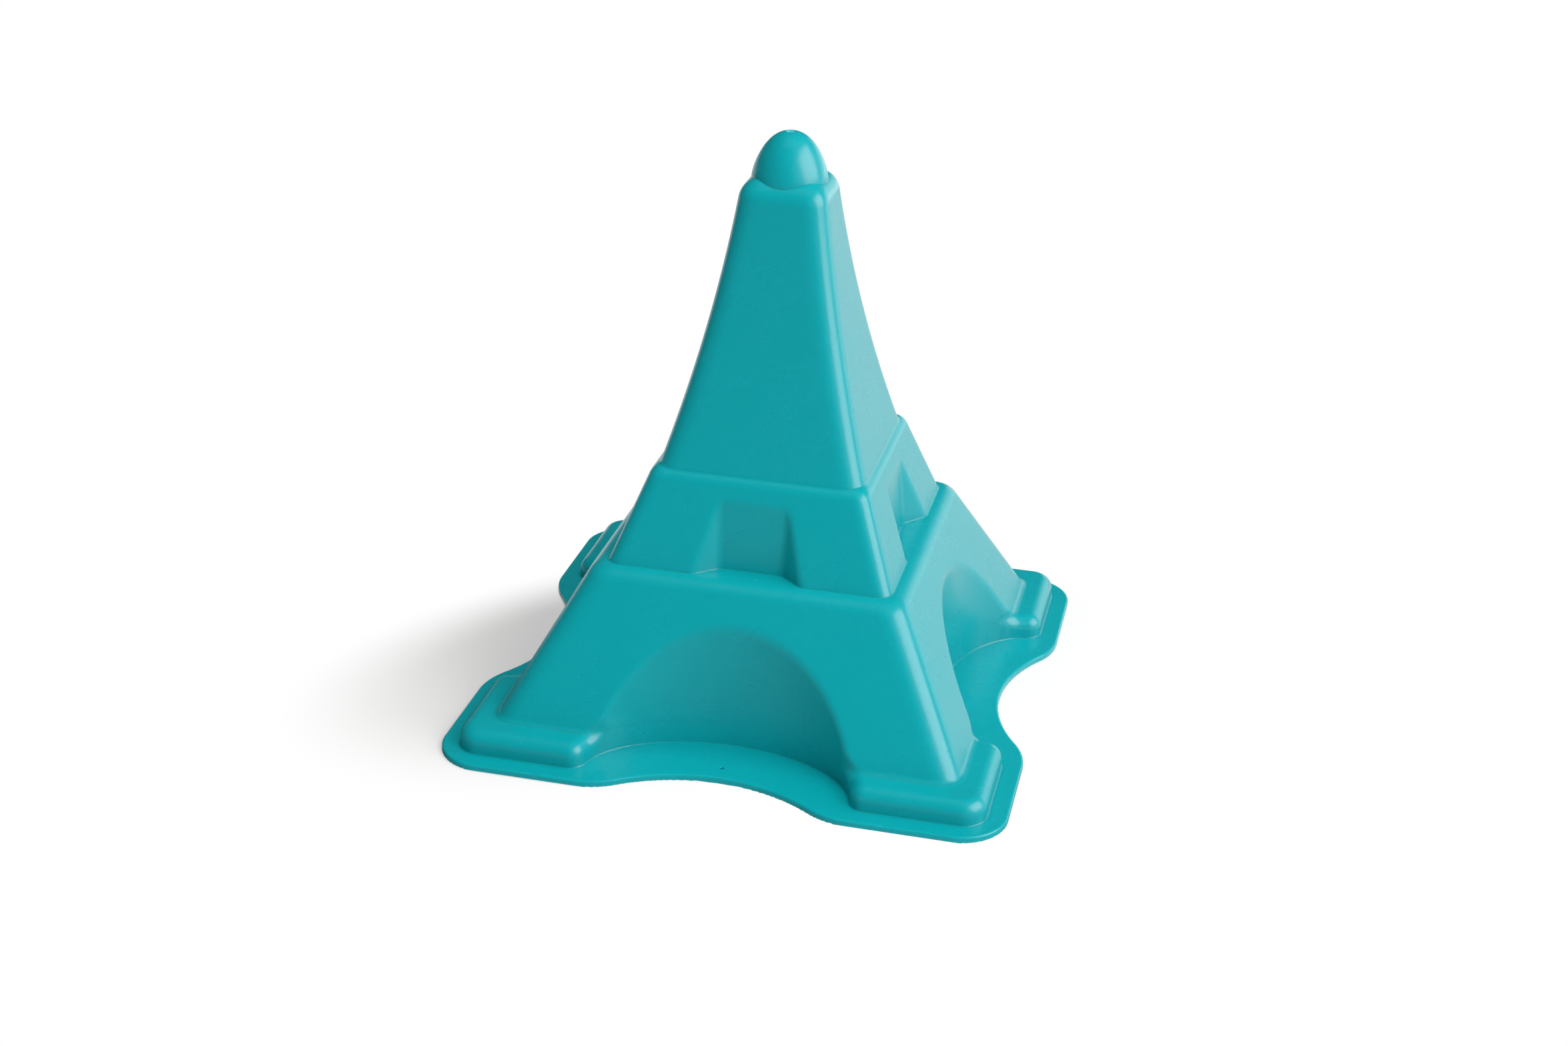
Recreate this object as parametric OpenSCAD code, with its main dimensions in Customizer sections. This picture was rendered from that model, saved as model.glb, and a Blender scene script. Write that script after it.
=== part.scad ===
// Sand mould in the shape of a four-legged lattice tower, standing on its open base.
// One thin-walled moulding, drawn as the storeys that its creases divide it into.
// Frame: +Z up, origin in the middle of the open base, front face towards -Y.

/* [Base rim] */
// Width of the square rim that the mould stands on
rim_w = 190; // [176:1:215]
// Thickness of the rim
rim_t = 2.2; // [1.6:0.1:3.2]
// Radius of the rim's four corners in plan
rim_corner_r = 16.5; // [10:0.5:20]
// Depth of the scallop in the middle of each side
scallop_depth = 14.3; // [9:0.1:16]
// Radius of the hollow part of a scallop
scallop_r = 56; // [48:1:64]
// Radius that leads each end of a scallop out to the straight edge
scallop_ease_r = 25; // [18:1:28]

/* [Wall] */
// Wall thickness, measured level
wall = 2; // [1.6:0.1:2.8]

/* [Feet] */
// Width of the rim outside the feet
rim_lip = 6.7; // [5:0.1:10]
// Height of a foot above the rim
foot_h = 7.8; // [6:0.1:11]
// Width of the step on top of a foot
foot_step = 10.5; // [7:0.1:13]
// Radius of a foot's outer corner in plan
foot_corner_r = 8; // [5:0.5:10]
// Radius along the top edge of a foot
foot_edge_r = 4.6; // [2:0.1:5.5]
// Radius at each end of a foot, where the arch recess begins
foot_end_r = 4.5; // [3:0.1:6]

/* [Arch storey] */
// Height of the arch storey above the feet
arch_storey_h = 48.1; // [42:0.5:60]
// Width of the ledge around the foot of the window storey
arch_ledge = 4; // [3:0.1:6]
// Radius along the edge of that ledge
arch_ledge_r = 5; // [2:0.1:6]
// Radius of the legs' sloping corner edges
leg_edge_r = 3.8; // [2.5:0.1:5]
// Width of an arch recess at the feet's outer face
arch_w = 89.6; // [76:0.2:100]
// Depth of an arch recess in from the feet's outer face
arch_depth = 28.6; // [22:0.2:31]
// Outward lean of the recess wall, in degrees
arch_draft = 0.8; // [0:0.1:2]

/* [Window storey] */
// Width of the window storey at its foot
window_storey_w = 95.7; // [88:0.5:104]
// Height of the window storey
window_storey_h = 30.8; // [26:0.2:38]
// Width of the ledge around the foot of the spire
window_ledge = 1.4; // [1:0.1:3]
// Radius of the window storey's sloping corner edges
window_edge_r = 3.2; // [2.5:0.1:4.5]
// Width of the flat back of a window recess
window_w = 20.4; // [16:0.2:26]
// Depth of a window recess at its sill
window_depth = 6.4; // [4.5:0.1:7.5]
// Angle that the recess sides open out by, in degrees from square
window_flare = 49; // [35:1:55]
// Outward lean of the recess walls, in degrees
window_draft = 5.8; // [4.5:0.1:8]
// Radius in the recess's back corners
window_corner_r = 3; // [1:0.1:4]

/* [Spire] */
// Width of the spire at its foot
spire_foot_w = 69.3; // [64:0.5:74]
// Width of the spire at its shoulder
spire_top_w = 27.8; // [27:0.2:34]
// Height of the spire
spire_h = 92.6; // [80:0.5:110]
// Inward sag of the spire's sides at half height
spire_sag = 2; // [0:0.1:4]
// Radius of the spire's corner edges
spire_edge_r = 5.2; // [3:0.1:6]
// Radius around the spire's shoulder
spire_shoulder_r = 5; // [2:0.1:5.5]

/* [Finial] */
// Diameter of the finial at its foot
finial_d = 25; // [20:0.2:25.4]
// Height of the finial
finial_h = 15.2; // [11:0.2:20]
// Diameter of the moulding gate's flat on the tip
gate_d = 3.8; // [2:0.1:5]
// Depth that the gate is sunk into the tip
gate_dip = 0.3; // [0.1:0.1:0.6]

/* [Hidden] */

mould_color = [0.09, 0.66, 0.70];
// Overrun of every cut
cut = 1;
// Faces around a quarter of a rounded corner, and along a rounded edge
corner_steps = 6;
edge_steps = 4;
// Faces around an arch recess, and up the spire
arch_steps = 28;
spire_steps = 12;
finial_steps = 20;
// Powers that give the finial its egg shape between a cone and a dome
finial_rise_power = 1.4;
finial_round_power = 2.2;
sides = [0, 1, 2, 3];

// Heights of the steps, from the ground
foot_top_z = rim_t + foot_h;
arch_top_z = foot_top_z + arch_storey_h;
window_top_z = arch_top_z + window_storey_h;
spire_top_z = window_top_z + spire_h;

// Half widths at those heights
rim_half = rim_w / 2;
foot_half = rim_half - rim_lip;
leg_foot_half = foot_half - foot_step;
window_foot_half = window_storey_w / 2;
leg_top_half = window_foot_half + arch_ledge;
spire_foot_half = spire_foot_w / 2;
window_top_half = spire_foot_half + window_ledge;
spire_top_half = spire_top_w / 2;

leg_lean = (leg_foot_half - leg_top_half) / arch_storey_h;
arch_half = arch_w / 2;
window_back_y = window_foot_half - window_depth;
// Edge radius of the ledge, which leaves a level seat for the window storey
ledge_edge_r = min(arch_ledge_r, arch_ledge / tan((90 - atan(leg_lean)) / 2));
// The feet end where the arch recess runs in under the legs
skirt_half = leg_foot_half - wall;
foot_end = arch_half * cos(asin((foot_half - skirt_half) / arch_depth));
// The recesses stop this far below the ledge above them
recess_roof = 3 * wall;
// A foot's rounded end is set forward a little, so that it meets the foot's face in an edge
end_set_share = 0.95;

// A value that never reaches zero, for the inside of a rounded corner
function inner_r(r) = max(r - wall, wall / 4);

// Points of an arc about a centre, from one angle to another, both in degrees
function arc(c, r, from, to, steps) =
    [for (i = [0 : steps]) let (a = from + (to - from) * i / steps) c + r * [cos(a), sin(a)]];

function after_first(points) = [for (i = [1 : len(points) - 1]) points[i]];

// The same points on the other side of the YZ plane, in reverse order
function mirrored(points) =
    [for (i = [len(points) - 1 : -1 : 0]) [-points[i][0], points[i][1]]];

// Outline of a square with rounded corners
function rounded_square(half, r) = [
    for (q = sides)
        let (a = 90 * q, m = half - r, s = [[1, 1], [-1, 1], [-1, -1], [1, -1]][q])
            each arc([m * s[0], m * s[1]], r, a, a + 90, corner_steps)
];

// Ring of points at height z
function lift(outline, z) = [for (p = outline) [p[0], p[1], z]];
function square_ring(half, r, z) = lift(rounded_square(half, r), z);

// Rings that turn over a rounded edge, from a leaning face on to a level top
// lean is how far the face leans in for each unit that it rises
// The corners' radius in plan goes from corner_r to top_corner_r on the way
function edge_rings(face_half, top_z, lean, r, corner_r, top_corner_r) =
    let (
        slope = 90 - atan(lean),
        c_half = face_half - r * tan(slope / 2),
        c_z = top_z - r
    )
        [for (i = [0 : edge_steps])
            let (a = 90 - slope + slope * i / edge_steps, share = i / edge_steps)
                square_ring(
                    c_half + r * cos(a),
                    corner_r + (top_corner_r - corner_r) * share,
                    c_z + r * sin(a)
                )];

// Closed solid through a stack of rings that have equal numbers of points
// The first point of a ring sees all the others, so its caps can be fanned out from there
module skin(rings) {
    n = len(rings[0]);
    last = len(rings) - 1;
    walls = [
        for (i = [0 : last - 1], j = [0 : n - 1])
            let (k = (j + 1) % n, a = i * n + j, b = i * n + k, c = a + n, d = b + n)
                each [[a, c, d], [a, d, b]]
    ];
    bottom = [for (j = [0 : n - 1]) j];
    top = [for (j = [0 : n - 1]) last * n + (n - j) % n];
    polyhedron(points = [for (r = rings) each r], faces = concat(walls, [bottom, top]));
}

module on_each_side() {
    for (q = sides) rotate(90 * q) children();
}

// Half of one side of the rim, from the middle of the scallop to the corner
function rim_half_side() =
    let (
        hollow_y = -(rim_half - scallop_depth) - scallop_r,
        ease_y = -(rim_half - scallop_ease_r),
        rise = ease_y - hollow_y,
        ease_x = sqrt((scallop_r + scallop_ease_r) ^ 2 - rise ^ 2),
        turn = atan2(ease_x, rise)
    )
        concat(
            arc([0, hollow_y], scallop_r, 90, 90 - turn, 2 * corner_steps),
            after_first(arc([ease_x, ease_y], scallop_ease_r, 270 - turn, 270, corner_steps))
        );

// A quarter of the rim's outline, filled in to the middle
module rim_side() {
    corner = rim_half - rim_corner_r;
    right = concat(
        after_first(rim_half_side()),
        arc([corner, -corner], rim_corner_r, 270, 315, corner_steps)
    );
    polygon(concat([[0, 0]], mirrored(right), [rim_half_side()[0]], right));
}

// Plan of an arch recess, pushed out by grow, with its ends turned out round the feet
// It is drawn from the middle of its mouth
function arch_outline(grow) =
    let (
        a = arch_half + grow,
        b = arch_depth + grow,
        end_r = grow > 0 ? inner_r(foot_end_r) : foot_end_r,
        end_y = foot_end_r * end_set_share,
        end_c = [arch_half * cos(asin(end_y / arch_depth)) + foot_end_r, end_y],
        start = asin(end_y / arch_depth),
        right = arc(end_c, end_r, 270, 180, corner_steps),
        outside = -rim_lip - cut,
        turn = start + (180 - 2 * start) / arch_steps
    )
        concat(
            [[0, outside], [end_c[0], outside]],
            right,
            [for (i = [0 : arch_steps])
                let (t = turn + (180 - 2 * turn) * i / arch_steps) [a * cos(t), b * sin(t)]],
            mirrored(right),
            [[-end_c[0], outside]]
        );

// An arch recess widens evenly towards its top, so that the sand slips out
module arch_recess(grow) {
    outline = arch_outline(grow);
    rise = tan(arch_draft) / (arch_depth + grow);
    translate([0, -foot_half, 0])
        skin([for (z = [rim_t - foot_h, arch_top_z - recess_roof + grow])
            lift(outline * (1 + (z - rim_t) * rise), z)]);
}

// Plan of a window recess, pushed out by grow
function window_outline(grow) =
    let (
        turn = 90 - window_flare,
        corner = window_w / 2 + grow * tan(turn / 2),
        back_y = -window_back_y + grow,
        r = window_corner_r,
        c = [corner - r * tan(turn / 2), back_y - r],
        right = arc(c, r, 90 - turn, 90, edge_steps),
        outside = -leg_top_half,
        mouth = right[0][0] + (right[0][1] - outside) * tan(window_flare)
    )
        concat([[-mouth, outside], [mouth, outside]], right, mirrored(right));

module window_recess(grow) {
    top_z = window_top_z - recess_roof + grow;
    bottom_z = arch_top_z - wall - 2 * cut;
    lean = tan(window_draft);
    skin([for (z = [bottom_z, top_z]) lift(window_outline(grow + (z - arch_top_z) * lean), z)]);
}

// The feet's block, before the arch recesses and the hollow are cut
module foot_outside() {
    skin(concat(
        [square_ring(foot_half, foot_corner_r, rim_t)],
        edge_rings(foot_half, foot_top_z, 0, foot_edge_r, foot_corner_r,
            foot_corner_r - foot_edge_r)
    ));
}

// The leaning block of the legs, with its rounded ledge
module leg_outside() {
    skin(concat(
        [square_ring(leg_foot_half, leg_edge_r, foot_top_z)],
        edge_rings(leg_top_half, arch_top_z, leg_lean, ledge_edge_r, leg_edge_r, leg_edge_r / 2)
    ));
}

// Between the feet the arch storey reaches down to the rim, as the backs of its recesses
module leg_skirts() {
    for (turn = [0, 90])
        rotate(turn)
            translate([-foot_end, -skirt_half, rim_t])
                cube([2 * foot_end, 2 * skirt_half, foot_h + wall / 2]);
}

// Hollow of the feet and the legs, with the walls of the recesses left standing in it
module lower_hollow() {
    under_foot = foot_top_z - wall;
    under_ledge = arch_top_z - wall;
    r = inner_r(leg_edge_r);
    difference() {
        union() {
            skin([for (z = [rim_t - cut, under_foot])
                square_ring(foot_half - wall, inner_r(foot_corner_r), z)]);
            skin([
                square_ring(leg_foot_half - wall, r, under_foot - cut),
                square_ring(leg_foot_half - wall, r, foot_top_z),
                square_ring(leg_top_half + leg_lean * wall - wall, r, under_ledge)
            ]);
        }
        on_each_side() arch_recess(wall);
    }
}

module rim() {
    color(mould_color)
        linear_extrude(rim_t)
            difference() {
                on_each_side() rim_side();
                difference() {
                    polygon(rounded_square(foot_half - wall, inner_r(foot_corner_r)));
                    on_each_side() translate([0, -foot_half]) polygon(arch_outline(wall));
                }
            }
}

// The foot at the front left, turned to its own corner
module foot(turn) {
    color(mould_color)
        rotate(turn)
            intersection() {
                difference() {
                    foot_outside();
                    for (q = [0, 270]) rotate(q) arch_recess(0);
                    lower_hollow();
                }
                translate([-rim_half, -rim_half, 0])
                    cube([rim_half - foot_end, rim_half - foot_end, foot_top_z + cut]);
            }
}

// Hollow of the window storey, which also opens the ledge under it
module window_hollow() {
    lean = (window_foot_half - window_top_half) / window_storey_h;
    half = window_foot_half - wall;
    r = inner_r(window_edge_r);
    difference() {
        skin([
            square_ring(half, r, arch_top_z - wall - cut),
            square_ring(half, r, arch_top_z),
            square_ring(half - lean * (window_storey_h - wall), r, window_top_z - wall)
        ]);
        on_each_side() window_recess(wall);
    }
}

module arch_storey() {
    color(mould_color)
        difference() {
            union() {
                leg_outside();
                leg_skirts();
            }
            on_each_side() arch_recess(0);
            lower_hollow();
            window_hollow();
        }
}

module window_storey() {
    color(mould_color)
        difference() {
            skin([
                square_ring(window_foot_half, window_edge_r, arch_top_z),
                square_ring(window_top_half, window_edge_r, window_top_z)
            ]);
            on_each_side() window_recess(0);
            window_hollow();
            spire_hollow();
        }
}

// Half width of the spire at a share of its height
function spire_at(share) =
    spire_foot_half + (spire_top_half - spire_foot_half) * share
    - spire_sag * 4 * share * (1 - share);

// Lean of the spire's side where its shoulder begins
shoulder_share = 1 - spire_shoulder_r / spire_h;
shoulder_lean = (spire_at(shoulder_share) - spire_top_half) / spire_shoulder_r;

module spire_hollow() {
    top_share = 1 - wall / spire_h;
    skin(concat(
        [square_ring(spire_foot_half - wall, inner_r(spire_edge_r), window_top_z - wall - cut)],
        [for (i = [0 : spire_steps])
            let (s = top_share * i / spire_steps)
                square_ring(spire_at(s) - wall, inner_r(spire_edge_r), window_top_z + s * spire_h)]
    ));
}

// The finial's round foot is let into the spire's shoulder by the wall thickness
module spire() {
    color(mould_color)
        difference() {
            skin(concat(
                [for (i = [0 : spire_steps - 1])
                    let (s = shoulder_share * i / spire_steps)
                        square_ring(spire_at(s), spire_edge_r, window_top_z + s * spire_h)],
                edge_rings(spire_top_half, spire_top_z, shoulder_lean, spire_shoulder_r,
                    spire_edge_r, spire_edge_r)
            ));
            spire_hollow();
            translate([0, 0, spire_top_z - wall])
                cylinder(h = wall + cut, d = finial_d, $fn = 64);
        }
}

// Outline of half the finial, egg-shaped, with a flat of radius flat_r at its tip
function finial_profile(r, h, flat_r) =
    let (top = (1 - (flat_r / r) ^ finial_round_power) ^ (1 / finial_rise_power))
        [for (i = [0 : finial_steps])
            let (t = top * sin(90 * i / finial_steps))
                [r * (1 - t ^ finial_rise_power) ^ (1 / finial_round_power), h * t]];

// Turned solid of the finial, on a straight foot that reaches down by foot_depth
module finial_solid(r, h, foot_depth) {
    profile = finial_profile(r, h, gate_d / 2);
    tip_z = profile[finial_steps][1];
    rotate_extrude($fn = 64)
        polygon(concat([[0, -foot_depth], [r, -foot_depth]], profile, [[0, tip_z]]));
}

module finial() {
    gate_z = finial_profile(finial_d / 2, finial_h, gate_d / 2)[finial_steps][1];
    color(mould_color)
        translate([0, 0, spire_top_z])
            difference() {
                finial_solid(finial_d / 2, finial_h, wall);
                finial_solid(finial_d / 2 - wall, finial_h - wall, wall + cut);
                translate([0, 0, gate_z - gate_dip])
                    cylinder(h = gate_dip + cut, r = gate_d / 2 - gate_dip, $fn = 48);
            }
}

rim();
foot(0);  // foot_front_left
foot(90);  // foot_front_right
foot(270);  // foot_back_left
foot(180);  // foot_back_right
arch_storey();
window_storey();
spire();
finial();
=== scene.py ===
"""Looks of the sand mould: a hollow stepped tower with arched legs, moulded in one piece of teal plastic.

The moulding is described as one signed distance field in millimetres, so that every edge has its own
radius and every wall its thickness. The field is meshed, cut along the creases into the CAD's nodes, and
shaded with the field's own slopes. The finial is turned from its profile. Lamps, camera and materials are
in metres.
"""

from itertools import cycle

import bmesh
import bpy
import numpy as np
from mathutils import Euler, Matrix, Vector


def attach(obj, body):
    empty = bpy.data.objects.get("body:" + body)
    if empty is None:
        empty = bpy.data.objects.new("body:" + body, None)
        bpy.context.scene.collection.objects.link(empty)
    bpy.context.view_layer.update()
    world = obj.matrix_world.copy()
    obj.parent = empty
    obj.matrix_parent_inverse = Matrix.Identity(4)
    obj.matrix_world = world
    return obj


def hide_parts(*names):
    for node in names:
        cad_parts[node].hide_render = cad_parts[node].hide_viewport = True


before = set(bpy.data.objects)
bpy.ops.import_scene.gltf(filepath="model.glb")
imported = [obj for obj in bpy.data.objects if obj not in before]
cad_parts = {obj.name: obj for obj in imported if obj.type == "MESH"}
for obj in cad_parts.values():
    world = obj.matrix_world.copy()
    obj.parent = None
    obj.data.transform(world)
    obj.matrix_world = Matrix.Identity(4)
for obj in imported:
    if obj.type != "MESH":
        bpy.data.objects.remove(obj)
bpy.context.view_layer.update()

MM = 0.001
TINY = 1e-9

# Heights of the levels, in mm
RIM_TOP, FOOT_TOP, ARCH_TOP, WINDOW_TOP, SPIRE_TOP = 2.2, 10.0, 58.1, 88.9, 181.5
# Half widths at those levels
RIM_HALF, FOOT_HALF = 95.0, 88.3
LEG_FOOT_HALF, LEG_TOP_HALF = 78.4, 52.4
WINDOW_FOOT_HALF, WINDOW_TOP_HALF = 48.2, 36.4
SPIRE_FOOT_HALF, SPIRE_TOP_HALF, SPIRE_SAG = 34.95, 14.2, 2.0
WALL = 2.0
# How far the window storey and the spire reach down into what they stand on
WINDOW_SINK, SPIRE_SINK = 5.0, 3.0
# Share of the spire's height by which its curve runs on past both ends
SPIRE_OVERRUN_SHARE = 0.05

# Rim outline: corner, scallop and the curve that leads out of it
RIM_CORNER_R, SCALLOP_DEPTH, SCALLOP_R, EASE_R = 16.5, 14.3, 56.0, 25.0
# Arch recess: an ellipse in plan, centred on the feet's outer face
ARCH_HALF, ARCH_DEPTH, ARCH_DRAFT = 44.8, 28.6, np.tan(np.radians(0.8))
# Window recess: a leaning back with flared sides
WINDOW_BACK, WINDOW_HALF, WINDOW_FLARE, WINDOW_DRAFT = 41.45, 10.6, np.radians(49), np.tan(np.radians(5.8))
WINDOW_CORNER_R = 4.0
# Edge of a window recess: its radius, which grows between two cosines of the faces' normals, and how fast
WINDOW_MOUTH_R, WINDOW_MOUTH_K, WINDOW_MOUTH_K_MAX, WINDOW_GROWTH = 4.0, 0.705, 0.965, 0.37
# Edge of an arch recess: at the feet's ends, and on the leaning legs where the two faces are square
FOOT_END_R, LEG_RECESS_R, RECESS_GROWTH = 4.5, 1.8, 0.77
# Height over which that edge turns from the one radius to the other
RECESS_TURN = 6.0
# Corners in plan: the length over which each is eased in, and the power of its curve, where 2 is a circle
FOOT_CORNER, LEG_CORNER, WINDOW_CORNER, SPIRE_CORNER = (8.0, 2.0), (9.6, 2.8), (6.6, 2.8), (9.0, 2.8)
# Radii of the edges along the levels
RIM_EDGE_R, FOOT_EDGE_R, ARCH_LEDGE_R, WINDOW_LEDGE_R, SHOULDER_R = 0.7, 4.6, 6.6, 5.0, 7.5
# A rounded ledge meets what stands on it lower than a square one, so these two are raised to make up for it
WINDOW_CREST, SPIRE_CREST = 0.4, 1.1
# Radii in the hollow creases between the levels
RIM_CREASE_R, FOOT_CREASE_R, ARCH_CREASE_R, WINDOW_CREASE_R = 0.6, 1.5, 0.5, 0.6
INNER_EDGE_R = 0.4

# Finial: an egg shape between a cone and a dome, on a straight foot in the spire's shoulder
FINIAL_R, FINIAL_H, FINIAL_RISE, FINIAL_ROUND = 12.5, 15.2, 1.4, 2.2
BORE_R, BORE_TIP_R = 12.0, 0.4
# Dish where the gate was cut off its tip: radius, and points as (inwards from the edge, down from the tip)
GATE_R = 1.9
GATE_DISH = (0.12, 0.0), (0.3, 0.05), (0.45, 0.3), (1.14, 0.34), (GATE_R, 0.35)
OUTER_STEPS, INNER_STEPS, FINIAL_TURNS, FINIAL_SHARP = 48, 32, 160, np.radians(50)

# Where the feet end beside an arch recess
FOOT_END = 40.3
# Each level is cut a little above its floor, inside the crease, so that no cut runs along a face
CUT_LIFT = 0.3
# A point this near a cut lies on it, in metres
CUT_SNAP = 1e-7

# Mesh: spacing in plan, steps in height at the ledges and between them, and number of triangles
FULL_MESH, QUICK_MESH = (0.6, 0.36, 0.9, 220_000), (0.9, 0.6, 1.4, 90_000)
# Heights at which those steps change, from small ones at the bottom to large ones and back
STEP_LEVELS = 13.0, 49.0, 62.0, 84.0, 91.5, 171.0, 183.0
MESH_BOTTOM, MESH_MARGIN = -1.0, 2.0
# How often, and how far at most, a point is moved on to the surface
MOVES, MOVE_MAX = 4, 0.3
# At an edge, where a face's normal and the field's have a smaller cosine, the slope is taken inside the face
EDGE_K, EDGE_STEP = 0.9, 0.12

# Gate's mark on the finial, painted paler as a painted highlight, and pit in the rim, dented and painted
# darker as painted shade, in metres: their middles, and the distances over which each effect fades
GATE, PIT = (0, 0, 0.1964), (-0.0004, -0.0745, RIM_TOP * MM)
GATE_HIGHLIGHT_FADE, PIT_SHADE_FADE, PIT_DENT_FADE = (0.0014, GATE_R * MM), (0.0002, 0.0006), (0.0001, 0.001)
TEAL_DARK, TEAL_PALE = (0.002, 0.338, 0.380, 1), (0.003, 0.354, 0.398, 1)
# Painted highlight on the gate's dish, and painted shade in the pit
GATE_HIGHLIGHT_COLOUR, PIT_SHADE_COLOUR = (0.07, 0.47, 0.52, 1), (0.001, 0.16, 0.19, 1)
WHITE = (1, 1, 1, 1)

# The floor lies just under the rim, so that no two faces share a plane
FLOOR_HALF, FLOOR_DROP = 6000.0, 0.02
# Oval round the shadow: middle, turn, breadth as a share of its length, and the half lengths where it fades
OVAL_MIDDLE, OVAL_TURN, OVAL_SHARE, OVAL_FADE = (-0.023, 0.002, 0), np.radians(36), 0.556, (0.103, 0.16)
# The floor as reflections see it, a painted reflection that glows: the way in which it grows lighter, over
# what distance, and from what level
LIGHTER_WAY, LIGHTER_OVER, LIGHTER_FROM = (0.45, 0.89, 0), (-0.08, 0.07), 0.03
WORLD_LEVEL = 0.05

# The photograph's view, solved from the rim, the ledges and the tip
CAMERA_PLACE, CAMERA_TURN = (0.158193, -0.707359, 0.396992), np.radians((64.9033, -1.55926, 13.21977))
LENS, SENSOR = 53.0427, 36


def round_max(a, b, r, k=0.0):
    """Both of two solids, with their shared edge rounded to r. k is the cosine between the faces' normals."""
    u, v = a + r, b + r
    p, q = (u - k * v) / (1 - k * k), (v - k * u) / (1 - k * k)
    around = np.sqrt(np.maximum(p * p + q * q + 2 * k * p * q, 0)) - r
    return np.where((p > 0) & (q > 0), around, np.maximum(a, b))


def round_min(a, b, r, k=0.0):
    """Either of two solids, with the crease between them filled to r."""
    return -round_max(-a, -b, r, k)


def eased(a, b, corner):
    """Both of two solids that meet squarely, with their shared edge eased in more slowly than by a circle."""
    size, power = corner
    u, v = np.maximum(a + size, TINY), np.maximum(b + size, TINY)
    reach = (u**power + v**power) ** (1 / power)
    slope = np.hypot((u / reach) ** (power - 1), (v / reach) ** (power - 1))
    return np.where((u > TINY) & (v > TINY), (reach - size) / slope, np.maximum(a, b))


def smooth(share):
    """A share from 0 to 1 that starts and ends gently."""
    share = np.clip(share, 0, 1)
    return share * share * (3 - 2 * share)


def storey(x, y, z, half, lean, corner, top, edge_r):
    """A block whose four sides lean in as they rise, under a level top with a rounded edge."""
    length = np.hypot(1, lean)
    sides = eased(x - half, y - half, corner) / length
    return round_max(sides, z - top, edge_r, lean / length)


def arch_void(along, out, z):
    """The space of one arch recess, and how squarely its wall faces out at each point."""
    scale = 1 + (z - RIM_TOP) * ARCH_DRAFT / ARCH_DEPTH
    half, depth = ARCH_HALF * scale, ARCH_DEPTH * scale
    across, deep = along / half, np.maximum(FOOT_HALF - out, 0) / depth
    slope_x, slope_y = across / half, deep / depth
    # At the ellipse's middle the slope is nought, so there it is held up
    slope = np.maximum(np.hypot(slope_x, slope_y), 0.5 / ARCH_HALF)
    return (across * across + deep * deep - 1) / (2 * slope), slope_y / slope


def cut_arch(body, along, out, z):
    """The body less one arch recess. The recess's edge is wider where the two faces meet less squarely."""
    void, facing = arch_void(along, out, z)
    lean = (LEG_FOOT_HALF - LEG_TOP_HALF) / (ARCH_TOP - FOOT_TOP)
    share = smooth((z - FOOT_TOP) / RECESS_TURN)
    k = facing / np.hypot(1, lean) * share
    radius = FOOT_END_R * (1 - share) + LEG_RECESS_R * (1 - k) ** -RECESS_GROWTH * share
    return round_max(body, -void, radius, k)


def window_void(along, out, z):
    """The space of one window recess."""
    rise = (z - ARCH_TOP) * WINDOW_DRAFT
    back = WINDOW_BACK - rise
    corner = WINDOW_HALF + rise * np.tan((np.pi / 2 - WINDOW_FLARE) / 2)
    side = (along - corner) * np.cos(WINDOW_FLARE) - (out - back) * np.sin(WINDOW_FLARE)
    return round_max(side, back - out, WINDOW_CORNER_R, np.sin(WINDOW_FLARE))


def cut_window(body, along, out, z):
    """The body less one window recess, whose edge widens likewise."""
    step = 0.05
    lean = (WINDOW_FOOT_HALF - WINDOW_TOP_HALF) / (WINDOW_TOP - ARCH_TOP)
    void = window_void(along, out, z)
    facing = window_void(along, out - step, z) - void
    rising = void - window_void(along, out, z + step)
    k = np.clip((facing + rising * lean) / step / np.hypot(1, lean), 0, WINDOW_MOUTH_K_MAX)
    growth = (1 - WINDOW_MOUTH_K) / np.minimum(1 - k, 1 - WINDOW_MOUTH_K)
    radius = WINDOW_MOUTH_R * growth**WINDOW_GROWTH
    return round_max(body, -void, radius, k)


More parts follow.
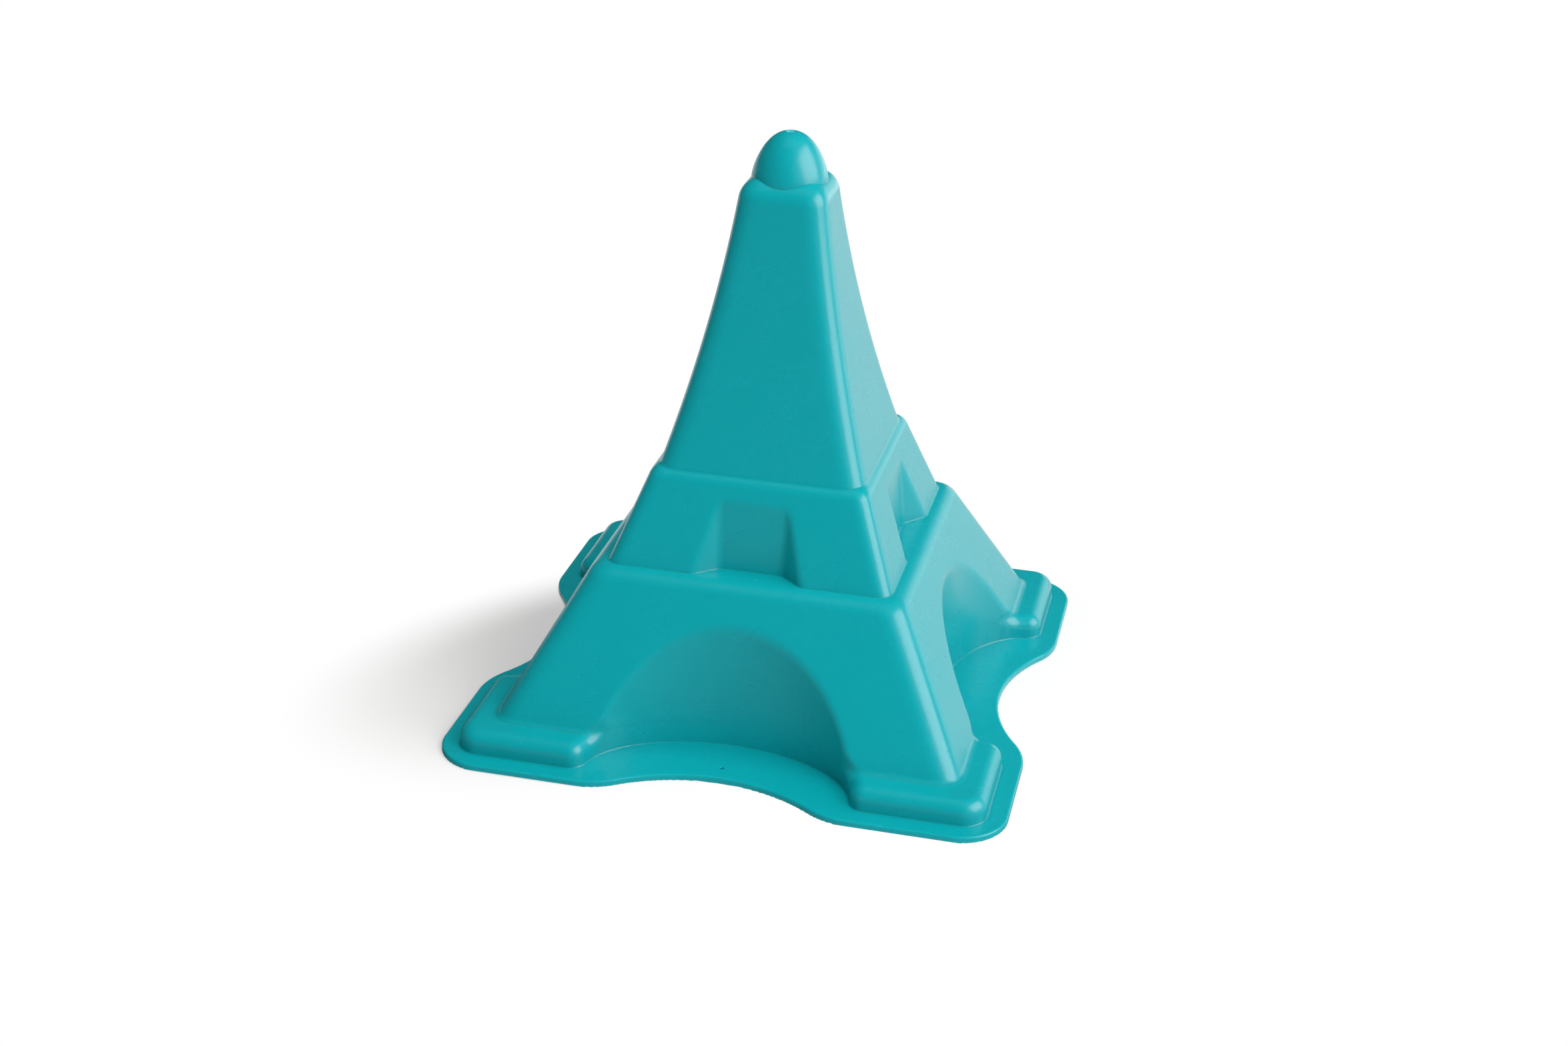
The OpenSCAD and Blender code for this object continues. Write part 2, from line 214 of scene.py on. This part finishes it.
def tower(x, y, z):
    """The outside of the tower above and below the rim, as if it were solid and had no base."""
    feet = storey(x, y, z, FOOT_HALF, 0.0, FOOT_CORNER, FOOT_TOP, FOOT_EDGE_R)
    lean = (LEG_FOOT_HALF - LEG_TOP_HALF) / (ARCH_TOP - FOOT_TOP)
    half = LEG_TOP_HALF + (ARCH_TOP - z) * lean
    legs = storey(x, y, z, half, lean, LEG_CORNER, ARCH_TOP, ARCH_LEDGE_R)
    low = round_min(feet, legs, FOOT_CREASE_R)
    low = cut_arch(cut_arch(low, x, y, z), y, x, z)

    lean = (WINDOW_FOOT_HALF - WINDOW_TOP_HALF) / (WINDOW_TOP - ARCH_TOP)
    half = WINDOW_TOP_HALF + (WINDOW_TOP - z) * lean
    crest = WINDOW_TOP + WINDOW_CREST
    middle = storey(x, y, z, half, lean, WINDOW_CORNER, crest, WINDOW_LEDGE_R)
    middle = cut_window(cut_window(middle, x, y, z), y, x, z)
    middle = np.maximum(middle, ARCH_TOP - WINDOW_SINK - z)

    share = (z - WINDOW_TOP) / (SPIRE_TOP - WINDOW_TOP)
    share = np.clip(share, -SPIRE_OVERRUN_SHARE, 1 + SPIRE_OVERRUN_SHARE)
    half = SPIRE_FOOT_HALF + (SPIRE_TOP_HALF - SPIRE_FOOT_HALF) * share - SPIRE_SAG * 4 * share * (1 - share)
    lean = SPIRE_FOOT_HALF - SPIRE_TOP_HALF + SPIRE_SAG * 4 * (1 - 2 * share)
    lean = lean / (SPIRE_TOP - WINDOW_TOP)
    spire = storey(x, y, z, half, lean, SPIRE_CORNER, SPIRE_TOP + SPIRE_CREST, SHOULDER_R)
    spire = np.maximum(spire, WINDOW_TOP - SPIRE_SINK - z)
    return round_min(round_min(low, middle, ARCH_CREASE_R), spire, WINDOW_CREASE_R)


def rim_side(along, out):
    """Distance beyond the rim's outline on one side, measured in plan."""
    hollow_y, ease_y = RIM_HALF - SCALLOP_DEPTH + SCALLOP_R, RIM_HALF - EASE_R
    rise = hollow_y - ease_y
    ease_x = np.sqrt((SCALLOP_R + EASE_R) ** 2 - rise**2)
    hollow = SCALLOP_R - np.hypot(along, out - hollow_y)
    ease = np.hypot(along - ease_x, out - ease_y) - EASE_R
    straight = out - RIM_HALF
    edge = np.where(along * rise < ease_x * (hollow_y - out), hollow, ease)
    edge = np.where(along > ease_x, straight, edge)
    return np.where(out < ease_y, np.maximum(hollow, straight), edge)


def rim(x, y, z):
    """The rim as a plate, with no opening in its middle."""
    outline = round_max(x - RIM_HALF, y - RIM_HALF, RIM_CORNER_R)
    outline = np.maximum(outline, np.maximum(rim_side(x, y), rim_side(y, x)))
    return np.maximum(round_max(outline, z - RIM_TOP, RIM_EDGE_R), -z)


def moulding(x, y, z):
    """Signed distance to the moulding without its finial: negative inside the plastic."""
    x, y = np.abs(x), np.abs(y)
    outside = tower(x, y, z)
    shell = round_min(np.maximum(outside, -z), rim(x, y, z), RIM_CREASE_R)
    shell = np.maximum(shell, -z)
    shell = round_max(shell, -(outside + WALL), INNER_EDGE_R)
    bore = np.maximum(np.hypot(x, y) - BORE_R, SPIRE_TOP - 2 * WALL - z)
    return np.maximum(shell, -bore)


def slopes(points, step=0.02):
    """Unit normals of the field at the points."""
    x, y, z = points.T
    gradient = np.stack(
        [
            moulding(x + step, y, z) - moulding(x - step, y, z),
            moulding(x, y + step, z) - moulding(x, y - step, z),
            moulding(x, y, z + step) - moulding(x, y, z - step),
        ],
        1,
    )
    return gradient / np.maximum(np.linalg.norm(gradient, axis=1, keepdims=True), TINY)


def levels(spans):
    """Heights from the bottom up, for spans given as (top, step)."""
    heights = [MESH_BOTTOM]
    for top, step in spans:
        count = max(1, round((top - heights[-1]) / step))
        heights += list(np.linspace(heights[-1], top, count + 1)[1:])
    return np.array(heights)


def net_faces(inside, cells, axis):
    """A face round each grid edge along the axis that crosses the surface."""
    order = (axis, (axis + 1) % 3, (axis + 2) % 3)
    inside, cells = inside.transpose(order), cells.transpose(order)
    first, second = inside[:-1, 1:-1, 1:-1], inside[1:, 1:-1, 1:-1]
    i, j, k = np.nonzero(first != second)
    corners = [cells[i, j, k], cells[i, j + 1, k], cells[i, j + 1, k + 1], cells[i, j, k + 1]]
    corners = np.stack(corners, 1)
    inward = ~first[i, j, k]
    corners[inward] = corners[inward, ::-1]
    return corners


def cell_corner(field, grid, cell, corner):
    """Place of one corner of each cell, and the field there."""
    index = tuple(i + n for i, n in zip(cell, corner))
    return np.stack([line[i] for line, i in zip(grid, index)], 1), field[index]


def crossing_middles(field, grid, cell):
    """The middle of the places where each cell's edges cross the surface."""
    total, crossings = np.zeros((len(cell[0]), 3)), np.zeros(len(cell[0]))
    for start in np.ndindex(2, 2, 2):
        for axis in range(3):
            if start[axis] == 1:
                continue
            end = tuple(s + (n == axis) for n, s in enumerate(start))
            first, a = cell_corner(field, grid, cell, start)
            second, b = cell_corner(field, grid, cell, end)
            crosses = (a < 0) != (b < 0)
            share = np.where(crosses, a / np.where(crosses, a - b, 1), 0)[:, None]
            total += crosses[:, None] * (first * (1 - share) + second * share)
            crossings += crosses
    return total / crossings[:, None]


def surface_net(across, heights):
    """Points and faces of the field's surface over a quarter of the plan."""
    field = moulding(across[:, None, None], across[None, :, None], heights[None, None, :])
    inside = field < 0
    shape = tuple(n - 1 for n in field.shape)
    count = np.zeros(shape, np.int8)
    for corner in np.ndindex(2, 2, 2):
        count += inside[tuple(slice(c, c + n) for c, n in zip(corner, shape))]
    cell = np.nonzero((count > 0) & (count < 8))
    cells = np.full(shape, -1)
    cells[cell] = np.arange(len(cell[0]))

    points = crossing_middles(field, (across, across, heights), cell)
    for _ in range(MOVES):
        distance = moulding(*points.T)
        points -= slopes(points) * np.clip(distance, -MOVE_MAX, MOVE_MAX)[:, None]
    for axis in (0, 1):
        points[cell[axis] == 0, axis] = 0
    return points, np.concatenate([net_faces(inside, cells, axis) for axis in range(3)])


def mirrored(points, faces, axis):
    """The mesh and its image on the other side of the axis, sharing the points between them."""
    shared = points[:, axis] == 0
    number = np.where(shared, np.arange(len(points)), len(points) + np.cumsum(~shared) - 1)
    image = points[~shared] * np.where(np.arange(3) == axis, -1, 1)
    return np.vstack([points, image]), np.vstack([faces, number[faces][:, ::-1]])


def new_mesh(name, points, faces):
    """A Blender mesh from points in mm and faces of equal size."""
    mesh = bpy.data.meshes.new(name)
    count, size = faces.shape
    mesh.vertices.add(len(points))
    mesh.vertices.foreach_set("co", (points * MM).astype(np.float32).ravel())
    mesh.loops.add(count * size)
    mesh.loops.foreach_set("vertex_index", faces.astype(np.int32).ravel())
    mesh.polygons.add(count)
    mesh.polygons.foreach_set("loop_start", np.arange(0, count * size, size, dtype=np.int32))
    mesh.update(calc_edges=True)
    return mesh


def thinned(mesh, triangles):
    """A copy of the mesh with about this many triangles, dense only where it curves."""
    whole = bpy.data.objects.new("whole", mesh)
    bpy.context.collection.objects.link(whole)
    mesh.calc_loop_triangles()
    modifier = whole.modifiers.new("thin", "DECIMATE")
    modifier.ratio = min(1, triangles / len(mesh.loop_triangles))
    result = bpy.data.meshes.new_from_object(whole.evaluated_get(bpy.context.evaluated_depsgraph_get()))
    bpy.data.objects.remove(whole)
    return result


def above(level):
    """The cut in the crease at this level, to keep what is above it, as (place, direction of what goes)."""
    return (0, 0, level + CUT_LIFT), (0, 0, -1)


def below(level):
    """The same cut, to keep what is below it."""
    return (0, 0, level + CUT_LIFT), (0, 0, 1)


def beyond(x, y):
    """The upright cut where the feet end in the direction (x, y), to keep what lies further out."""
    return (x * FOOT_END, y * FOOT_END, 0), (-x, -y, 0)


def within(x, y):
    """The same cut, to keep what lies further in."""
    return (x * FOOT_END, y * FOOT_END, 0), (x, y, 0)


def clipped(source, *cuts):
    """The part of the mesh that every cut keeps, closed again with flat caps."""
    bm = source.copy()
    cap = bm.faces.layers.int.get("cap") or bm.faces.layers.int.new("cap")
    for place, normal in cuts:
        geometry = bm.verts[:] + bm.edges[:] + bm.faces[:]
        cut = bmesh.ops.bisect_plane(
            bm,
            geom=geometry,
            dist=CUT_SNAP,
            plane_co=Vector(place) * MM,
            plane_no=normal,
            clear_outer=True,
        )["geom_cut"]
        edges = [e for e in cut if isinstance(e, bmesh.types.BMEdge) and e.is_boundary]
        if edges:
            made = bmesh.ops.triangle_fill(bm, use_beauty=True, edges=edges, normal=normal)["geom"]
            for face in made:
                if isinstance(face, bmesh.types.BMFace):
                    face[cap] = 1
                    face.normal_update()
                    if face.normal.dot(Vector(normal)) < 0:
                        face.normal_flip()
    return bm


def values(items, name, width=1, kind=np.float32):
    """One property of all these items of a mesh, with a row for each where its width is more than 1."""
    array = np.empty(len(items) * width, kind)
    items.foreach_get(name, array)
    return array.reshape(-1, width) if width > 1 else array


def corner_normals(mesh):
    """Normals at the corners of the faces: the field's slopes, and the flat normals on the caps."""
    corner = values(mesh.loops, "vertex_index", kind=np.int32)
    face_of = np.repeat(np.arange(len(mesh.polygons)), values(mesh.polygons, "loop_total", kind=np.int32))
    flat = values(mesh.polygons, "normal", 3)[face_of]
    points = values(mesh.vertices, "co", 3).astype(float) / MM
    chosen = slopes(points)[corner]

    # At a sharp edge the slope is taken a little way into each face
    sharp = np.sum(chosen * flat, 1) < EDGE_K
    place = points[corner[sharp]]
    inward = values(mesh.polygons, "center", 3)[face_of[sharp]] / MM - place
    inward /= np.maximum(np.linalg.norm(inward, axis=1, keepdims=True), TINY)
    chosen[sharp] = slopes(place + inward * EDGE_STEP)
    on_cap = values(mesh.attributes["cap"].data, "value", kind=np.int32)[face_of] == 1
    return np.where(on_cap[:, None], flat, chosen).astype(np.float32)


def as_piece(name, parts, node_names, material):
    """One object from closed parts of the moulding."""
    mesh = bpy.data.meshes.new(name)
    whole = bmesh.new()
    whole.faces.layers.int.new("cap")
    for part in parts:
        part.to_mesh(mesh)
        whole.from_mesh(mesh)
    mesh.clear_geometry()
    whole.to_mesh(mesh)
    whole.free()
    normals = corner_normals(mesh)
    mesh.polygons.foreach_set("use_smooth", np.ones(len(mesh.polygons), bool))
    mesh.normals_split_custom_set(normals)
    mesh.attributes.remove(mesh.attributes["cap"])
    return finished(name, mesh, node_names, material)


def finished(name, mesh, node_names, material):
    """The object that stands for these nodes of the CAD."""
    mesh.materials.clear()
    mesh.materials.append(material)
    piece = bpy.data.objects.new(name, mesh)
    bpy.context.collection.objects.link(piece)
    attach(piece, "root")
    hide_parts(*node_names)
    return piece


def build_moulding(material):
    """All pieces but the finial, cut from one mesh so that they meet exactly."""
    spacing, fine, coarse, triangles = FULL_MESH
    count = int((RIM_HALF + MESH_MARGIN) / spacing) + 2
    across = (np.arange(count) - 0.5) * spacing
    points, faces = surface_net(across, levels(zip(STEP_LEVELS, cycle([fine, coarse]))))
    for axis in (0, 1):
        points, faces = mirrored(points, faces, axis)
    source = bmesh.new()
    source.from_mesh(thinned(new_mesh("moulding", points, faces), triangles))

    as_piece("rim_shell", [clipped(source, below(RIM_TOP))], ["rim"], material)
    band = clipped(source, above(RIM_TOP), below(FOOT_TOP))
    for depth, y in [("front", -1), ("back", 1)]:
        for side, x in [("left", -1), ("right", 1)]:
            node = f"foot_{depth}_{side}"
            as_piece(node + "_shell", [clipped(band, beyond(x, 0), beyond(0, y))], [node], material)
    between = [
        clipped(band, within(1, 0), within(-1, 0)),
        clipped(band, within(0, 1), within(0, -1), beyond(1, 0)),
        clipped(band, within(0, 1), within(0, -1), beyond(-1, 0)),
    ]
    legs = clipped(source, above(FOOT_TOP), below(ARCH_TOP))
    as_piece("arch_storey_shell", [legs, *between], ["arch_storey"], material)
    windows = clipped(source, above(ARCH_TOP), below(WINDOW_TOP))
    as_piece("window_storey_shell", [windows], ["window_storey"], material)
    as_piece("spire_shell", [clipped(source, above(WINDOW_TOP))], ["spire"], material)


def egg(radius, height, flat, steps):
    """Radius and height along half the finial's outline, from its foot to the flat on its tip."""
    top = (1 - (flat / radius) ** FINIAL_ROUND) ** (1 / FINIAL_RISE)
    t = top * np.sin(np.linspace(0, np.pi / 2, steps + 1))
    return np.stack([radius * (1 - t**FINIAL_RISE) ** (1 / FINIAL_ROUND), height * t], 1)


def build_finial(material):
    """The finial, turned from its bore's tip down, round its foot and up to the dish where the gate was."""
    outer = egg(FINIAL_R, FINIAL_H, GATE_R, OUTER_STEPS)
    inner = egg(FINIAL_R - WALL, FINIAL_H - WALL, BORE_TIP_R, INNER_STEPS)
    dish = [[GATE_R - inwards, outer[-1, 1] - down] for inwards, down in GATE_DISH]
    foot = [[FINIAL_R - WALL, -WALL], [FINIAL_R, -WALL]]
    profile = np.vstack([[[0, inner[-1, 1]]], inner[::-1], foot, outer, dish])
    angle = np.arange(FINIAL_TURNS) * 2 * np.pi / FINIAL_TURNS
    bm = bmesh.new()
    rings = []
    for radius, height in profile:
        z = (SPIRE_TOP + height) * MM
        if radius < TINY:
            rings.append([bm.verts.new((0, 0, z))] * FINIAL_TURNS)
            continue
        rings.append(
            [bm.verts.new((radius * MM * np.cos(a), radius * MM * np.sin(a), z)) for a in angle]
        )
    for low, high in zip(rings, rings[1:]):
        for i in range(FINIAL_TURNS):
            j = (i + 1) % FINIAL_TURNS
            corners = [low[i], low[j], high[j], high[i]]
            bm.faces.new(list(dict.fromkeys(corners)))
    mesh = bpy.data.meshes.new("finial")
    bmesh.ops.recalc_face_normals(bm, faces=bm.faces)
    bm.to_mesh(mesh)
    bm.free()
    mesh.polygons.foreach_set("use_smooth", np.ones(len(mesh.polygons), bool))
    mesh.set_sharp_from_angle(angle=FINIAL_SHARP)
    return finished("finial_shell", mesh, ["finial"], material)


class Nodes:
    """Short calls for building the nodes of a material or a world."""

    def __init__(self, owner):
        owner.use_nodes = True
        self.tree = owner.node_tree
        self.shader = self.tree.nodes.get("Principled BSDF")

    def add(self, kind, settings=(), **inputs):
        """A new node with these settings and inputs. In an input's name, _ stands for a space."""
        node = self.tree.nodes.new("ShaderNode" + kind)
        for key, value in dict(settings).items():
            setattr(node, key, value)
        for key, value in inputs.items():
            self.set(node, key.replace("_", " "), value)
        return node

    def set(self, node, name, value):
        """Link the input to another node's output, or give it a value. A digit picks it by its number."""
        socket = node.inputs[int(name)] if name.isdigit() else node.inputs[name]
        if isinstance(value, bpy.types.NodeSocket):
            self.tree.links.new(value, socket)
        else:
            socket.default_value = value

    def mix(self, share, first, second):
        """The first shader, giving way to the second as the share rises to 1."""
        node = self.add("MixShader", Fac=share)
        self.set(node, "1", first)
        self.set(node, "2", second)
        return node.outputs["Shader"]

    def ramp(self, value, over, low=0.0, high=1.0):
        """A smooth step from low to high as the value passes from the first to the second of two numbers."""
        node = self.add("MapRange", {"interpolation_type": "SMOOTHSTEP"}, Value=value)
        for name, number in zip(["From Min", "From Max", "To Min", "To Max"], [*over, low, high]):
            self.set(node, name, number)
        return node.outputs["Result"]

    def spot(self, place, middle, fade):
        """1 near a point of the surface, sinking to 0 over the two distances of the fade."""
        away = self.add("VectorMath", {"operation": "DISTANCE"}, Vector=place)
        self.set(away, "1", middle)
        return self.ramp(away.outputs["Value"], fade, 1.0, 0.0)


def plastic():
    """Semi-gloss polypropylene: faint mottling, a fine moulded grain and slow waves in the surface.

    It's painted paler on the dish where the gate was cut off the finial's tip, a painted highlight, and there
    is a small pit in the rim's front, dented and painted darker as painted shade.
    """
    material = bpy.data.materials.new("teal_plastic")
    n = Nodes(material)
    place = n.add("TexCoord").outputs["Object"]
    cloud = n.add("TexNoise", Vector=place, Scale=45, Detail=4, Roughness=0.6).outputs["Fac"]
    # gate and pit are the masks of the painted highlight on the gate's dish and the painted shade in the pit
    gate, pit = n.spot(place, GATE, GATE_HIGHLIGHT_FADE), n.spot(place, PIT, PIT_SHADE_FADE)
    teal = n.add("MixRGB", Fac=cloud, Color1=TEAL_DARK, Color2=TEAL_PALE).outputs["Color"]
    # Painted highlight: paler on the gate's dish
    paler = n.add("MixRGB", Fac=gate, Color1=teal, Color2=GATE_HIGHLIGHT_COLOUR).outputs["Color"]
    # Painted shade: darker in the pit
    darker = n.add("MixRGB", Fac=pit, Color1=paler, Color2=PIT_SHADE_COLOUR).outputs["Color"]
    n.set(n.shader, "Base Color", darker)
    gloss = n.add("MapRange", Value=cloud, From_Min=0.3, From_Max=0.7, To_Min=0.25, To_Max=0.29)
    n.set(n.shader, "Roughness", gloss.outputs["Result"])
    n.set(n.shader, "IOR", 1.49)
    n.set(n.shader, "Subsurface Weight", 0.4)
    n.set(n.shader, "Subsurface Radius", (1.0, 1.0, 1.0))
    n.set(n.shader, "Subsurface Scale", 0.002)
    grain = n.add("TexNoise", Vector=place, Scale=1600, Detail=2).outputs["Fac"]
    waves = n.add("TexNoise", Vector=place, Scale=70, Detail=1).outputs["Fac"]
    slow = n.add("Bump", Strength=0.05, Distance=0.0004, Height=waves)
    fine = n.add("Bump", Strength=0.05, Distance=0.00002, Height=grain, Normal=slow.outputs["Normal"])
    dent = n.add("Bump", {"invert": True}, Strength=1.0, Distance=0.0006, Normal=fine.outputs["Normal"])
    n.set(dent, "Height", n.spot(place, PIT, PIT_DENT_FADE))
    n.set(n.shader, "Normal", dent.outputs["Normal"])
    return material


def outside_oval(n, place):
    """0 round the object and its shadow, rising to 1 outside an oval that holds both."""
    oval = n.add("Mapping", {"vector_type": "TEXTURE"}, Vector=place, Location=OVAL_MIDDLE)
    n.set(oval, "Rotation", (0, 0, OVAL_TURN))
    n.set(oval, "Scale", (1, OVAL_SHARE, 1))
    away = n.add("VectorMath", {"operation": "LENGTH"}, Vector=oval.outputs["Vector"])
    return n.ramp(away.outputs["Value"], OVAL_FADE)


def floor_white():
    """Matt white. To the camera it fades to plain white away from the object's shadow.

    Reflections see it glowing, a painted reflection that is white behind and to the right of the object and
    dim in front.
    """
    material = bpy.data.materials.new("floor_white")
    n = Nodes(material)
    place = n.add("TexCoord").outputs["Object"]
    cloud = n.add("TexNoise", Vector=place, Scale=3, Detail=2).outputs["Fac"]
    colour = n.add("MixRGB", Fac=cloud, Color1=(0.80, 0.80, 0.80, 1), Color2=(0.81, 0.81, 0.81, 1))
    n.set(n.shader, "Base Color", colour.outputs["Color"])
    n.set(n.shader, "Roughness", 0.9)
    n.set(n.shader, "Specular IOR Level", 0.0)
    path = n.add("LightPath").outputs

    share = n.add("Math", {"operation": "MULTIPLY"})
    n.set(share, "0", path["Is Camera Ray"])
    n.set(share, "1", outside_oval(n, place))
    white = n.add("Emission", Color=WHITE, Strength=1.0).outputs["Emission"]
    seen = n.mix(share.outputs["Value"], n.shader.outputs["BSDF"], white)

    # Painted reflection: to glossy rays the floor glows white behind and to the right, and dim in front
    behind = n.add("VectorMath", {"operation": "DOT_PRODUCT"}, Vector=place)
    n.set(behind, "1", LIGHTER_WAY)
    level = n.ramp(behind.outputs["Value"], LIGHTER_OVER, LIGHTER_FROM)
    reflected = n.add("Emission", Color=WHITE, Strength=level).outputs["Emission"]
    surface = n.mix(path["Is Glossy Ray"], seen, reflected)
    n.set(n.tree.nodes["Material Output"], "Surface", surface)
    return material


def build_floor():
    """A wide flat floor under the rim."""
    sides = [(-1, -1), (1, -1), (1, 1), (-1, 1)]
    corners = np.array([(x * FLOOR_HALF, y * FLOOR_HALF, -FLOOR_DROP) for x, y in sides])
    mesh = new_mesh("floor", corners, np.array([[0, 1, 2, 3]]))
    mesh.materials.append(floor_white())
    floor = bpy.data.objects.new("floor", mesh)
    bpy.context.collection.objects.link(floor)


def add_light(name, place, target, size, radiance, seen_in, colour=(1, 1, 1)):
    """A softbox of the given radiance, seen only in diffuse or only in glossy reflections."""
    data = bpy.data.lights.new(name, "AREA")
    data.shape, data.size, data.size_y = "RECTANGLE", size[0], size[1]
    data.energy, data.color = radiance * np.pi * size[0] * size[1], colour
    light = bpy.data.objects.new(name, data)
    light.location = place
    light.rotation_mode = "QUATERNION"
    light.rotation_quaternion = (Vector(target) - Vector(place)).to_track_quat("-Z", "Y")
    light.visible_camera = False
    light.visible_diffuse = seen_in == "diffuse"
    light.visible_glossy = seen_in == "glossy"
    bpy.context.collection.objects.link(light)


def build_lights():
    """Wide softboxes at the right, in front and overhead, and two lamps that are only reflected.

    Of those two, the one at the right makes the highlights, and the low strip behind brings out the ledges.
    """
    foot, middle, spire = (0, 0, 0), (0, 0, 0.05), (0, 0, 0.1)
    add_light("key", (1.156, -0.101, 0.783), foot, (1.82, 1.37), 1.6, "diffuse")
    add_light("front", (1.0, -1.0, 0.8), middle, (1.0, 1.0), 4.3, "diffuse")
    add_light("top", (0, -0.1, 1.7), middle, (1.2, 1.2), 4.5, "diffuse", (1, 0.975, 0.955))
    add_light("key_shine", (1.29, -0.14, 0.783), foot, (1.4, 1.3), 5.0, "glossy", (1, 0.7, 0.7))
    add_light("back_shine", (0.6, 1.04, 0.2), spire, (1.0, 0.5), 1.4, "glossy")


def build_world():
    """White where the camera sees past the floor, and dim elsewhere."""
    world = bpy.data.worlds.new("studio")
    bpy.context.scene.world = world
    n = Nodes(world)
    n.tree.nodes.clear()
    path = n.add("LightPath").outputs
    seen = n.add("Background", Color=WHITE).outputs["Background"]
    unseen = n.add("Background", Color=WHITE, Strength=WORLD_LEVEL).outputs["Background"]
    n.add("OutputWorld", Surface=n.mix(path["Is Camera Ray"], unseen, seen))


def build_camera():
    """The camera at the photograph's angle."""
    data = bpy.data.cameras.new("camera")
    data.lens, data.sensor_width = LENS, SENSOR
    camera = bpy.data.objects.new("camera", data)
    camera.matrix_world = Matrix.LocRotScale(Vector(CAMERA_PLACE), Euler(CAMERA_TURN), None)
    bpy.context.collection.objects.link(camera)
    bpy.context.scene.camera = camera


teal = plastic()
build_moulding(teal)
build_finial(teal)
build_floor()
build_lights()
build_world()
build_camera()
bpy.context.scene.view_settings.view_transform = "Standard"
